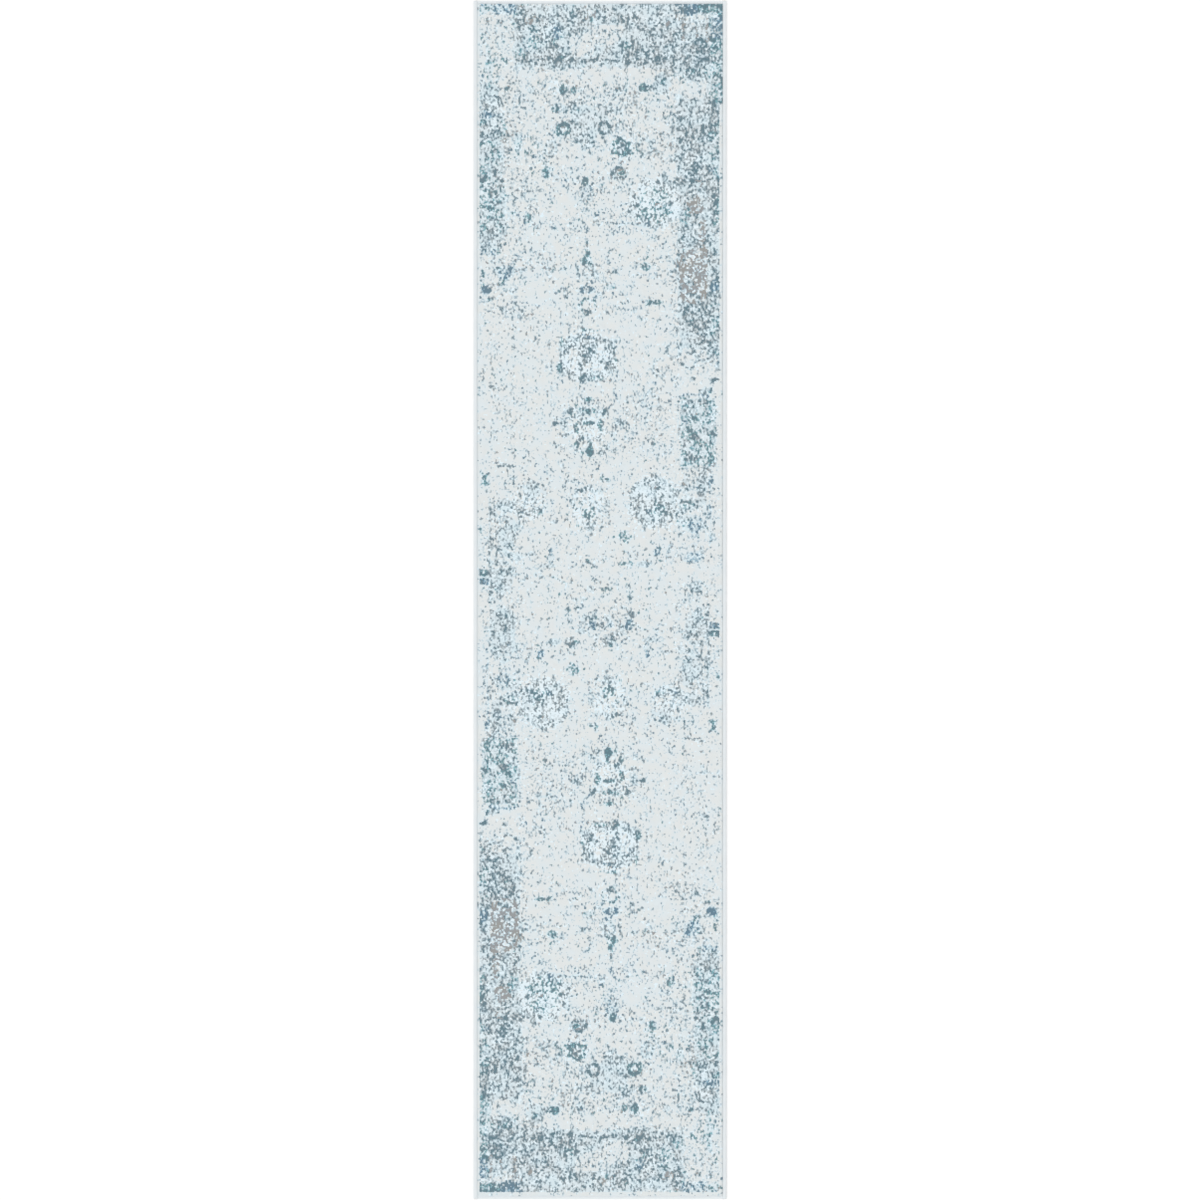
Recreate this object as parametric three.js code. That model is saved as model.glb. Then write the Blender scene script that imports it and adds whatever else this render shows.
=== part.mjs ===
// Runner rug: a long, narrow machine-woven floor rug with a cut pile in a faded Persian design.
// Millimetres, +Z up. X runs across the rug, Y along it, and the origin is on the floor at its centre.
// The head end is the one at +Y and the foot end the one at -Y.
import * as THREE from "three";

// Overall size
const RUG_WIDTH = 762;
const RUG_LENGTH = 3610;

// Layers, from the floor up
const COAT_THICK = 1;
const CLOTH_THICK = 1.5;
const PILE_HEIGHT = 7.5;

// Overcast side binding, with its filler cord
const BINDING_WIDTH = 12;
const CORD_RADIUS = 2.3;
const CORD_FROM_PILE = 7.6; // from the pile's side to the cord's centre
const CORD_HEIGHT = 3.3; // from the floor to the cord's centre
const BINDING_INNER_HEIGHT = 6; // where the wrap comes down to the pile's side
const BINDING_INNER_ROUND = 1.2;

// Folded end hem, a tape that wraps round the end of the cloth
const HEM_ON_TOP = 9;
const HEM_UNDERNEATH = 32;
const HEM_TOP_THICK = 1.6;
const HEM_FOLD_THICK = 1.1;
const HEM_ROUND = 1.2;

// Lockstitch row along the hem
const STITCH_FROM_END = 4.5;
const STITCH_WIDTH = 1.2;
const STITCH_THICK = 0.6;
const STITCH_SHORT_OF_SIDE = 3;

// Blank care label under the foot end
const LABEL_WIDTH = 60;
const LABEL_LENGTH = 40;
const LABEL_THICK = 0.5;
const LABEL_OFF_FLOOR = 0.2;
const LABEL_FROM_BINDING = 30;

// Running gap between pieces that touch, and the wrap's thickness where it lies under the cloth
const GAP = 0.3;
const UNDER_LIP = COAT_THICK - GAP;
const ARC_STEPS = 8;

// Places worked out from the sizes above
const halfWidth = RUG_WIDTH / 2;
const halfLength = RUG_LENGTH / 2;
const bindingInside = halfWidth - BINDING_WIDTH; // x of the pile's side of the binding
const clothTop = COAT_THICK + CLOTH_THICK;
const cordChamber = CORD_RADIUS + GAP;
const wrapRadius = BINDING_WIDTH - CORD_FROM_PILE;
const layerHalfWidth = bindingInside - GAP;

const finish = (color, roughness) => new THREE.MeshStandardMaterial({ color, roughness, metalness: 0 });

const materials = {
  pile: finish(0xd3dee2, 0.95),
  cloth: finish(0xc9b896, 0.9),
  coat: finish(0xd8cfb8, 0.7),
  binding: finish(0xdfe3e3, 0.85),
  cord: finish(0xe6e0d2, 0.9),
  hem: finish(0xdadfe0, 0.85),
  thread: finish(0xe9ebea, 0.6),
  label: finish(0xf2f2ee, 0.5),
};

function named(name, geometry, material) {
  const mesh = new THREE.Mesh(geometry, material);
  mesh.name = name;
  return mesh;
}

// A flat layer of the rug, from height z up.
function layer(name, width, length, thick, z, material) {
  const mesh = named(name, new THREE.BoxGeometry(width, length, thick), material);
  mesh.position.z = z + thick / 2;
  return mesh;
}

// Cut pile: the tufts of every colour, as one slab standing on the cloth.
function pile() {
  const length = RUG_LENGTH - 2 * (HEM_ON_TOP + GAP);
  return layer("pile", 2 * layerHalfWidth, length, PILE_HEIGHT, clothTop, materials.pile);
}

// Ground cloth: warp and weft that hold the tufts. Its sides go into the bindings and its ends into the hems.
function groundCloth() {
  const intoBinding = CORD_FROM_PILE - CORD_RADIUS - GAP;
  const width = 2 * (bindingInside + intoBinding);
  const length = RUG_LENGTH - 2 * (HEM_FOLD_THICK + GAP);
  return layer("ground_cloth", width, length, CLOTH_THICK, COAT_THICK, materials.cloth);
}

// Latex coat on the back, between the bindings and the hems, left bare where the label lies.
function latexCoat() {
  const end = halfLength - HEM_UNDERNEATH - GAP;
  const labelLeft = -bindingInside + LABEL_FROM_BINDING;
  const outline = new THREE.Shape();
  outline.moveTo(-layerHalfWidth, -end);
  outline.lineTo(labelLeft - GAP, -end);
  outline.lineTo(labelLeft - GAP, -end + LABEL_LENGTH + GAP);
  outline.lineTo(labelLeft + LABEL_WIDTH + GAP, -end + LABEL_LENGTH + GAP);
  outline.lineTo(labelLeft + LABEL_WIDTH + GAP, -end);
  outline.lineTo(layerHalfWidth, -end);
  outline.lineTo(layerHalfWidth, end);
  outline.lineTo(-layerHalfWidth, end);
  outline.closePath();
  const geometry = new THREE.ExtrudeGeometry(outline, { depth: COAT_THICK, bevelEnabled: false });
  return named("latex_coat", geometry, materials.coat);
}

// Section of the overcast binding, x outwards from the pile's side and y up from the floor. It is a hook:
// the wrap goes over and under the cloth's edge and round a chamber for the filler cord.
function bindingSection() {
  const slotTop = clothTop + GAP;
  const slotMeetsChamber = Math.acos((slotTop - CORD_HEIGHT) / cordChamber) + Math.PI / 2;
  const lowerRound = CORD_HEIGHT;
  const section = new THREE.Shape();
  section.moveTo(0, 0);
  section.lineTo(BINDING_WIDTH - lowerRound, 0);
  section.absarc(BINDING_WIDTH - lowerRound, lowerRound, lowerRound, -Math.PI / 2, 0, false);
  section.absarc(CORD_FROM_PILE, CORD_HEIGHT, wrapRadius, 0, Math.PI / 2, false);
  section.lineTo(BINDING_INNER_ROUND, BINDING_INNER_HEIGHT);
  section.lineTo(0, BINDING_INNER_HEIGHT - BINDING_INNER_ROUND);
  section.lineTo(0, slotTop);
  section.absarc(CORD_FROM_PILE, CORD_HEIGHT, cordChamber, slotMeetsChamber, -Math.PI / 2, true);
  section.lineTo(0, UNDER_LIP);
  section.closePath();
  return section;
}

// One long side of the rug: its binding and the cord inside, built for the right-hand side.
function side(name) {
  const group = new THREE.Group();
  const geometry = new THREE.ExtrudeGeometry(bindingSection(), {
    depth: RUG_LENGTH,
    bevelEnabled: false,
    curveSegments: ARC_STEPS,
  });
  const binding = named("side_binding_" + name, geometry, materials.binding);
  binding.rotation.x = Math.PI / 2; // the section's height becomes Z, and its depth runs along the rug
  binding.position.set(bindingInside, halfLength, 0);

  const cordLength = RUG_LENGTH - 2 * GAP;
  const round = new THREE.CylinderGeometry(CORD_RADIUS, CORD_RADIUS, cordLength, 2 * ARC_STEPS);
  const cord = named("edge_cord_" + name, round, materials.cord);
  cord.position.set(bindingInside + CORD_FROM_PILE, 0, CORD_HEIGHT);

  group.add(binding, cord);
  return group;
}

// Section of the folded hem, x inwards from the rug's end and y up from the floor.
function hemSection() {
  const top = clothTop + GAP + HEM_TOP_THICK;
  const section = new THREE.Shape();
  section.moveTo(HEM_UNDERNEATH, 0);
  section.lineTo(HEM_UNDERNEATH, UNDER_LIP);
  section.lineTo(HEM_FOLD_THICK, UNDER_LIP);
  section.lineTo(HEM_FOLD_THICK, clothTop + GAP);
  section.lineTo(HEM_ON_TOP, clothTop + GAP);
  section.lineTo(HEM_ON_TOP, top);
  section.absarc(HEM_ROUND, top - HEM_ROUND, HEM_ROUND, Math.PI / 2, Math.PI, false);
  section.absarc(HEM_ROUND, HEM_ROUND, HEM_ROUND, Math.PI, 1.5 * Math.PI, false);
  section.closePath();
  return section;
}

// One end of the rug: its hem and the stitch row on it, built for the foot end.
function end(name) {
  const group = new THREE.Group();
  const width = 2 * layerHalfWidth;
  const geometry = new THREE.ExtrudeGeometry(hemSection(), {
    depth: width,
    bevelEnabled: false,
    curveSegments: ARC_STEPS,
  });
  const hem = named("end_hem_" + name, geometry, materials.hem);
  // A third of a turn about the diagonal takes the section's x to Y, its y to Z and its depth to X.
  hem.quaternion.setFromAxisAngle(new THREE.Vector3(1, 1, 1).normalize(), (2 * Math.PI) / 3);
  hem.position.set(-layerHalfWidth, -halfLength, 0);

  const rowWidth = width - 2 * STITCH_SHORT_OF_SIDE;
  const hemTop = clothTop + GAP + HEM_TOP_THICK;
  const stitches = layer(
    "hem_stitching_" + name,
    rowWidth,
    STITCH_WIDTH,
    STITCH_THICK,
    hemTop + GAP,
    materials.thread,
  );
  stitches.position.y = -halfLength + STITCH_FROM_END;

  group.add(hem, stitches);
  return group;
}

// Blank care label, sewn to the back beside the foot hem.
function careLabel() {
  const label = layer(
    "care_label",
    LABEL_WIDTH,
    LABEL_LENGTH,
    LABEL_THICK,
    LABEL_OFF_FLOOR,
    materials.label,
  );
  label.position.x = -bindingInside + LABEL_FROM_BINDING + LABEL_WIDTH / 2;
  label.position.y = -halfLength + HEM_UNDERNEATH + GAP + LABEL_LENGTH / 2;
  return label;
}

function runnerRug() {
  const rug = new THREE.Group();
  const right = side("right");
  const left = side("left");
  left.rotation.z = Math.PI;
  const foot = end("foot");
  const head = end("head");
  head.rotation.z = Math.PI;
  rug.add(pile(), groundCloth(), latexCoat(), right, left, foot, head, careLabel());
  return rug;
}

export default runnerRug();
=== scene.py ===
import bpy
import numpy as np
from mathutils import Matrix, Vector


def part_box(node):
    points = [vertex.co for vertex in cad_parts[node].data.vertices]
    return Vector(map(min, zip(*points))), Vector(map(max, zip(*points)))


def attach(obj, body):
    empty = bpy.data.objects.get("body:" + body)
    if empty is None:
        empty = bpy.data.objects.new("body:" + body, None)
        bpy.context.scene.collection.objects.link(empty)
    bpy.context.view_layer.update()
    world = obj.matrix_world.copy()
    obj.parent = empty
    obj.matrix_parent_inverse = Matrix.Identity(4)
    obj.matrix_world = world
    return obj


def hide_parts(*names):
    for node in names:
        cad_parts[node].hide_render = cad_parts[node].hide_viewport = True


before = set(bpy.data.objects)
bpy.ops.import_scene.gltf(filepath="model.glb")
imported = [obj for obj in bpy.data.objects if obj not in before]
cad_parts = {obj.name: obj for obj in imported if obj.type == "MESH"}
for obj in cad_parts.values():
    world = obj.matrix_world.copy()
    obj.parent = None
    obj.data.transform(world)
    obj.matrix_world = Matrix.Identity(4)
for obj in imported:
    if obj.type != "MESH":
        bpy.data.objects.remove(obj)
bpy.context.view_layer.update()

# Camera. It hangs straight above the middle of the rug with a long lens, so that the rug lies flat in the
# frame with its head end at the top and fills the height of it.
lens_mm, sensor_mm = 135, 36
frame_width = 3.615
pile_low, pile_high = (np.array(corner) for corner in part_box("pile"))
camera_data = bpy.data.cameras.new("camera")
camera_data.lens = lens_mm
camera_data.sensor_width = sensor_mm
camera_data.clip_end = 100
camera = bpy.data.objects.new("camera", camera_data)
camera.location = (0, 0, pile_high[2] + frame_width * lens_mm / sensor_mm)
bpy.context.collection.objects.link(camera)
bpy.context.scene.camera = camera

# Point paper: the plan of the design, one square for each knot of the pile. The faded Persian design is
# drawn in millimetres on the head half, and the foot half is the same drawing after half a turn, with one
# flower more. Worn yarns show as specks, thick where the design is strong and thin on the bare ground.
knot = 0.003
knots_across = round((pile_high[0] - pile_low[0]) / knot)
knots_along = round((pile_high[1] - pile_low[1]) / knot)
half_rows = 606  # rows drawn, from three before the rug's middle
head_rows = 602  # rows of the head half; the foot half has the rest
rng = np.random.default_rng(1874)


def blurred(field, along, across):
    """The field smoothed over that many knots each way, by a Gaussian that wraps round at its edges."""
    along_waves = np.fft.fftfreq(field.shape[0])[:, None]
    across_waves = np.fft.rfftfreq(field.shape[1])[None, :]
    keep = np.exp(-2 * np.pi**2 * ((along * along_waves) ** 2 + (across * across_waves) ** 2))
    smooth = np.fft.irfft2(np.fft.rfft2(field) * keep, s=field.shape)
    return smooth / smooth.std()


def noise(knots):
    """Random unevenness, 1 in strength, with humps that many knots wide."""
    return blurred(rng.standard_normal((half_rows, knots_across)), knots, knots)


# The design's centre lies 6 mm left of the rug's, and its lines wander a little, as woven ones do.
column, row = np.meshgrid(np.arange(knots_across), np.arange(half_rows))
across_mm = (column + 0.5 - knots_across / 2) * knot * 1000 + 6 + 1.2 * noise(4)
along_mm = (row - 3) * knot * 1000 + 1.2 * noise(4)
strength = np.zeros_like(across_mm)
frosting = np.zeros_like(across_mm)
dyes = ("teal", "blue", "slate", "taupe")
dye_share = {dye: np.full_like(across_mm, 0.03) for dye in dyes}
dye_share["slate"] += 0.10


def lay(cover, amount, dye):
    """Brings the design up to amount where cover is 1, in that dye."""
    strength[:] += cover * np.clip(amount - strength, 0, None)
    dye_share[dye] += cover * amount


def inside(beyond, edge):
    """1 well inside an outline and 0 well outside; beyond is the distance outside it."""
    return 1 / (1 + np.exp(np.clip(beyond * 2.2 / edge, -40, 40)))


def turned(x, y, degrees):
    """Distances from x, y along and across a line at that angle from the weft."""
    c, s = np.cos(np.radians(degrees)), np.sin(np.radians(degrees))
    return (across_mm - x) * c + (along_mm - y) * s, (along_mm - y) * c - (across_mm - x) * s


def oval(x, y, width, height, turn=0):
    """Distance outside an oval."""
    u, v = turned(x, y, turn)
    return (np.hypot(u * 2 / width, v * 2 / height) - 1) * min(width, height) / 2


def dab(dye, x, y, width, height, amount, turn=0, edge=3):
    lay(inside(oval(x, y, width, height, turn), edge), amount, dye)


def haze(dye, x, y, width, height, amount, edge=12):
    lay(inside(oval(x, y, width, height), edge), amount, dye)


def ring(dye, x, y, width, height, amount, petals=0, thick=8):
    u, v = turned(x, y, 0)
    scallops = 1 + 0.14 * np.cos(petals * np.arctan2(v, u)) if petals else 1
    reach = np.hypot(u * 2 / width, v * 2 / height) * scallops
    lay(inside(np.abs(reach - 1) * (width + height) / 4 - thick / 2, 3), amount, dye)


def stroke(dye, x, y, length, turn, amount, bend=0, thick=7):
    u, v = turned(x, y, turn)
    part = u * 2 / length
    aside = np.abs(v - bend * (1 - part**2)) - thick / 2
    lay(inside(np.maximum(aside, (np.abs(part) - 1) * length / 2), 3), amount, dye)


def block(dye, left, right, low, high, amount, edge=4):
    sides = np.maximum(left - across_mm, across_mm - right)
    ends = np.maximum(low - along_mm, along_mm - high)
    lay(inside(np.maximum(sides, ends), edge), amount, dye)


def bare(x, y, width, height, share):
    strength[:] *= 1 - share * inside(oval(x, y, width, height), 10)


def frost(x, y, width, height, amount=1.0):
    frosting[:] = np.maximum(frosting, amount * inside(oval(x, y, width, height), 10))


def draw(shape, dye, *places):
    """Several shapes of one kind and dye. A place is x and y in mm, the shape's sizes and its strength."""
    for place in places:
        shape(dye, *place)


# Ground specks, denser towards the ends and in the borders, with worn patches between them.
strength += 0.125 + 0.22 * np.clip((along_mm - 700) / 600, 0, 1)
block("slate", 238, 374, 750, 1560, 0.57, 16)
block("slate", -360, -295, 1080, 1560, 0.57, 16)
block("slate", -250, 380, 1605, 1795, 0.575, 10)
for worn in (
    (-300, 1700, 70, 80, 0.6), (40, 1577, 430, 44, 0.9), (25, 1712, 110, 80, 0.5),
    (-50, 1670, 70, 70, 0.6), (150, 1705, 60, 40, 0.5), (-285, 1700, 40, 40, 0.3),
    (285, 1545, 80, 60, 0.7), (150, 1440, 110, 60, 0.5), (-190, 1452, 110, 110, 0.5),
    (-72, 1340, 120, 90, 0.8), (10, 1330, 60, 100, 0.5), (170, 1295, 150, 60, 0.8),
    (-129, 1190, 130, 120, 0.9), (45, 1200, 90, 70, 0.7), (60, 1075, 170, 60, 0.7),
    (-140, 1080, 150, 60, 0.5), (-180, 905, 130, 150, 0.85), (175, 935, 130, 60, 0.7),
    (20, 840, 120, 50, 0.8), (-150, 830, 130, 50, 0.7), (130, 790, 160, 60, 0.8),
    (-300, 760, 110, 130, 0.4), (95, 720, 70, 70, 0.6), (-225, 700, 60, 90, 0.6),
    (-175, 680, 90, 90, 0.7), (-345, 620, 40, 120, 0.5), (45, 640, 130, 40, 0.6),
    (-190, 560, 90, 110, 0.8), (-268, 470, 60, 60, 0.5), (365, 500, 24, 300, 0.5),
    (-150, 400, 160, 90, 0.7), (40, 400, 160, 34, 0.7), (60, 290, 90, 120, 0.8),
    (-120, 320, 60, 130, 0.7), (-130, 190, 130, 60, 0.7), (-215, 190, 60, 50, 0.7),
    (170, 190, 130, 40, 0.6), (0, 160, 120, 40, 0.6), (355, 90, 60, 160, 0.7), (285, 80, 90, 50, 0.6),
    (170, 60, 140, 60, 0.6), (-90, 90, 50, 40, 0.5), (-200, 20, 90, 70, 0.8),
):
    bare(*worn)

# Head border: broken scrolls between a dark outer stripe and an inner line, with a palmette in the
# corner.
draw(
    block, "blue", (233, 300, 1764, 1800, 0.95, 3), (350, 384, 1690, 1765, 0.9, 4),
    (-360, -240, 1768, 1800, 0.55, 8),
)
draw(
    block, "teal", (296, 384, 1764, 1800, 0.95, 3), (340, 384, 1500, 1692, 0.76, 4),
    (-170, -95, 1618, 1636, 0.6),
)
draw(
    block, "slate", (0, 195, 1738, 1757, 0.62, 6), (-255, 380, 1618, 1636, 0.6, 5),
    (-250, 376, 1621, 1631, 0.88, 2), (75, 130, 1618, 1635, 0.8), (255, 376, 1618, 1635, 0.8),
)
draw(
    dab, "teal", (-350, 1778, 18, 30, 0.6), (-335, 1785, 24, 20, 0.55), (-78, 1764, 16, 32, 0.75),
    (-112, 1775, 20, 14, 0.6), (182, 1764, 28, 16, 0.75), (-150, 1680, 18, 18, 0.65),
    (-130, 1684, 24, 20, 0.8), (-242, 1655, 34, 46, 0.6), (-232, 1640, 34, 16, 0.85),
    (84, 1670, 34, 28, 0.75), (309, 1668, 36, 54, 0.85), (273, 1655, 16, 13, 0.95),
    (277, 1594, 32, 22, 0.85), (315, 1597, 38, 28, 0.8), (-330, 1650, 16, 46, 0.72),
    (-322, 1625, 22, 18, 0.88), (-279, 1627, 18, 14, 1.0), (-104, 1642, 22, 26, 0.55),
    (-325, 1570, 18, 56, 0.6), (-273, 1540, 17, 14, 0.95), (-55, 1628, 40, 15, 0.72),
)
draw(dab, "slate", (128, 1664, 28, 18, 0.72), (283, 1628, 54, 24, 0.8))
draw(
    dab, "blue", (-186, 1702, 28, 36, 0.75), (-124, 1705, 26, 62, 0.72, -15), (170, 1660, 40, 28, 0.78),
    (200, 1712, 20, 38, 0.72),
)
draw(
    haze, "taupe", (-226, 1745, 60, 30, 0.7, 8), (-20, 1754, 60, 24, 0.52, 8), (200, 1745, 60, 36, 0.62, 8),
)
draw(ring, "taupe", (230, 1728, 44, 56, 0.75, 0, 13))
draw(haze, "blue", (-275, 1780, 60, 24, 0.62, 8))
draw(haze, "teal", (-195, 1672, 50, 26, 0.5, 8), (-190, 1700, 110, 70, 0.42, 12))
draw(
    haze, "slate", (222, 1660, 36, 80, 0.72, 8), (285, 1650, 70, 40, 0.55, 8),
    (190, 1700, 130, 120, 0.62, 12), (180, 1770, 120, 56, 0.6, 8), (185, 1628, 150, 56, 0.68, 8),
    (292, 1606, 110, 90, 0.66, 10), (195, 1560, 60, 70, 0.52, 8),
)
draw(stroke, "blue", (190, 1688, 76, 14, 0.72))
draw(dab, "slate", *((x, 1604, 14, 13, 0.55) for x in range(-250, 240, 47)))
draw(
    stroke, "taupe", (290, 1748, 84, 0, 0.8, 0, 6), (258, 1712, 70, 90, 0.8, 0, 8),
    (282, 1738, 40, 0, 0.7, 0, 7), (298, 1712, 60, 90, 0.7, 0, 9), (328, 1715, 70, 90, 0.75, 0, 9),
    (276, 1718, 30, 0, 0.6),
)
draw(ring, "taupe", (285, 1545, 60, 40, 0.35))
bare(288, 1757, 100, 13, 0.7)
frost(288, 1757, 100, 14)
frost(-150, 1712, 40, 50)

# Right border: a dark guard stripe outside a band of rings and leaves, worn away towards the middle.
draw(
    block, "teal", (330, 374, 1500, 1800, 0.66, 5), (332, 374, 1370, 1500, 0.7, 5),
    (330, 374, 1300, 1370, 0.58, 6), (346, 374, 1120, 1300, 0.74, 6), (248, 325, 1050, 1132, 0.66, 8),
    (250, 325, 1132, 1200, 0.55, 8), (332, 368, 735, 892, 0.66, 6), (246, 330, 400, 612, 0.58, 8),
    (330, 356, 400, 600, 0.68, 5),
)
draw(block, "blue", (330, 374, 1040, 1150, 0.52, 8), (336, 343, 150, 610, 0.62, 4))
draw(
    block, "taupe", (248, 330, 840, 1200, 0.5, 16), (306, 327, 1068, 1152, 0.76, 5),
    (312, 329, 815, 1070, 0.78, 4),
)
draw(
    block, "slate", (334, 376, 1442, 1505, 0.86, 4), (246, 332, 1362, 1442, 0.66, 6),
    (240, 330, 1270, 1340, 0.42, 10), (243, 330, 800, 890, 0.42, 8), (240, 370, 690, 810, 0.36, 12),
    (321, 328, 180, 640, 0.55, 4), (244, 330, 200, 400, 0.42, 12), (238, 243, 450, 1400, 0.5, 3),
)
draw(
    dab, "teal", (277, 1392, 32, 26, 0.95), (295, 1300, 22, 38, 1.0), (280, 840, 36, 19, 0.95),
    (340, 632, 18, 24, 0.7), (292, 545, 42, 17, 0.95, -30),
)
draw(
    dab, "blue", (294, 1412, 15, 18, 0.92), (340, 1294, 26, 24, 0.95), (268, 868, 29, 36, 0.9),
    (340, 368, 13, 28, 0.9),
)
draw(
    haze, "blue", (352, 1712, 30, 70, 0.8, 8), (351, 955, 27, 62, 0.8, 5), (290, 225, 60, 60, 0.5, 10),
    (294, 130, 58, 40, 0.66, 8),
)
draw(dab, "taupe", (320, 1415, 22, 36, 0.8), (305, 1256, 54, 18, 0.72))
draw(
    haze, "taupe", (300, 1215, 54, 70, 0.6, 10), (285, 1180, 64, 44, 0.74, 10),
    (285, 985, 80, 150, 0.4, 10),
)
draw(
    ring, "taupe", (282, 1015, 82, 60, 0.7, 0, 16), (285, 960, 72, 60, 0.7, 0, 14),
    (287, 918, 70, 44, 0.6, 0, 12),
)
draw(
    haze, "slate", (282, 1240, 44, 56, 0.72, 6), (290, 1072, 84, 22, 0.8, 5), (350, 1020, 28, 44, 0.62, 5),
    (312, 858, 34, 92, 0.7, 8), (180, 700, 50, 50, 0.4, 10), (278, 430, 54, 28, 0.82, 6),
    (300, 592, 70, 26, 0.72, 6), (316, 345, 26, 90, 0.72, 6), (262, 122, 40, 26, 0.5, 8),
    (290, 20, 80, 70, 0.38, 12), (348, 260, 16, 200, 0.42, 5),
)
draw(
    dab, "slate", (320, 625, 24, 24, 0.72), (350, 664, 23, 15, 0.95), (288, 664, 18, 14, 0.9),
    (270, 565, 28, 13, 0.86, -35), (294, 492, 25, 21, 0.9), (272, 462, 34, 40, 0.6),
    (290, 165, 26, 16, 0.62), (312, 150, 16, 26, 0.5),
)
draw(
    ring, "slate", (268, 1310, 52, 72, 0.6), (228, 752, 42, 42, 0.72), (316, 750, 58, 58, 0.74),
    (186, 700, 44, 50, 0.5),
)
draw(stroke, "slate", (305, 1376, 134, 0, 0.72), (262, 808, 100, -28, 0.6), (264, 702, 46, -35, 0.78))
draw(stroke, "blue", (286, 612, 94, 0, 0.72, 8))
frost(300, 1330, 60, 30)

# Left border: the same bands, more worn, with a few dark leaves left in the guard stripe.
draw(block, "teal", (-360, -250, 1605, 1795, 0.36, 10), (-358, -285, 1100, 1440, 0.62, 14))
draw(
    block, "slate", (-331, -322, 120, 310, 0.78, 3), (-330, -320, -10, 120, 0.6, 3),
    *((x, x + 4, 200, 1400, 0.36, 3) for x in (-324, -255, -144)),
)
draw(
    dab, "teal", (-348, 1440, 36, 22, 0.72), (-348, 1515, 30, 20, 0.6), (-345, 1296, 48, 32, 0.72),
    (-345, 1270, 38, 26, 1.0), (-300, 1052, 15, 22, 0.82), (-325, 904, 22, 15, 0.8),
    (-296, 998, 26, 13, 0.88), (-338, 352, 26, 15, 0.75), (-346, 84, 36, 24, 0.76),
    (-356, 213, 15, 34, 0.6),
)
draw(dab, "blue", (-330, 1463, 66, 19, 0.86), (-338, 934, 29, 30, 0.95), (-344, 58, 36, 26, 0.8))
draw(
    haze, "teal", (-336, 1160, 26, 84, 0.62, 8), (-325, 1600, 56, 90, 0.5, 10),
    (-350, 960, 30, 60, 0.38, 10), (-310, 565, 30, 22, 0.5, 6),
)
draw(haze, "blue", (-330, 1060, 76, 54, 0.46, 10), (-280, 985, 54, 44, 0.56, 8))
draw(
    dab, "slate", (-292, 1500, 11, 20, 0.75), (-294, 1258, 15, 26, 0.9), (-338, 1062, 32, 22, 0.76),
    (-292, 876, 15, 15, 0.86), (-315, 640, 24, 15, 0.78), (-313, 508, 22, 13, 0.78),
    (-316, 258, 22, 22, 0.72), (-295, 112, 62, 17, 0.76), (-265, 90, 22, 32, 0.72),
)
draw(
    haze, "slate", (-322, 1412, 60, 64, 0.52, 14), (-312, 1290, 42, 32, 0.62, 8),
    (-270, 868, 112, 62, 0.45, 14), (-298, 640, 66, 40, 0.42, 10), (-270, 550, 60, 80, 0.3, 14),
    (-278, 285, 62, 38, 0.74, 8), (-285, 90, 105, 190, 0.46, 14), (-288, 215, 90, 150, 0.5, 12),
    (-350, 130, 34, 80, 0.35, 8),
)
draw(haze, "taupe", (-285, 225, 86, 44, 0.5, 10))
draw(stroke, "taupe", (-285, 146, 84, -25, 0.8))
draw(
    dab, "slate", (-245, 130, 16, 26, 0.78), (-268, 136, 24, 14, 0.7), (-285, 88, 44, 18, 0.66),
    (-210, 140, 30, 10, 0.6),
)
draw(stroke, "teal", (-350, 378, 32, -60, 0.86), (-340, 372, 32, 50, 0.86))
draw(
    stroke, "slate", (-285, 408, 50, -15, 0.55), (-278, 402, 62, 0, 0.82, 0, 6),
    (-256, 358, 36, 90, 0.7, 0, 5),
)
draw(ring, "slate", (-320, 1498, 46, 42, 0.78))
draw(ring, "teal", (-345, 1350, 46, 48, 0.74, 0, 10))
frost(-320, 1498, 30, 26)

# Field, upper part: sprigs and small open flowers, a large rosette, and a stem of buds down the middle.
draw(
    dab, "teal", (-105, 1537, 25, 28, 0.92), (-72, 1537, 19, 22, 0.88), (-55, 1538, 14, 14, 0.7),
    (138, 1542, 36, 24, 0.86), (197, 1562, 18, 26, 0.8), (188, 1575, 12, 16, 0.6), (85, 1548, 10, 26, 0.6),
    (-130, 1480, 28, 24, 0.75), (-118, 1408, 18, 20, 0.95), (70, 1286, 24, 16, 0.8),
    (-158, 1286, 22, 30, 0.92, 15), (-140, 1300, 22, 16, 0.55), (-240, 1380, 24, 50, 0.5),
    (-38, 1258, 20, 30, 1.1), (132, 1152, 40, 24, 0.7), (196, 1172, 56, 20, 0.62),
    (-213, 1150, 26, 32, 0.78), (-33, 1048, 17, 28, 0.95), (-41, 1022, 22, 24, 0.9),
    (-25, 1018, 15, 26, 0.9), (-34, 1080, 13, 22, 0.85), (144, 1002, 30, 24, 0.95),
    (34, 942, 38, 17, 0.84, 15), (152, 898, 19, 22, 0.9), (176, 896, 42, 17, 0.92),
)
draw(
    dab, "blue", (152, 1134, 26, 16, 0.85), (182, 1224, 28, 18, 0.75), (-36, 1222, 24, 30, 0.55),
    (-32, 937, 48, 21, 0.86),
)
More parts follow.
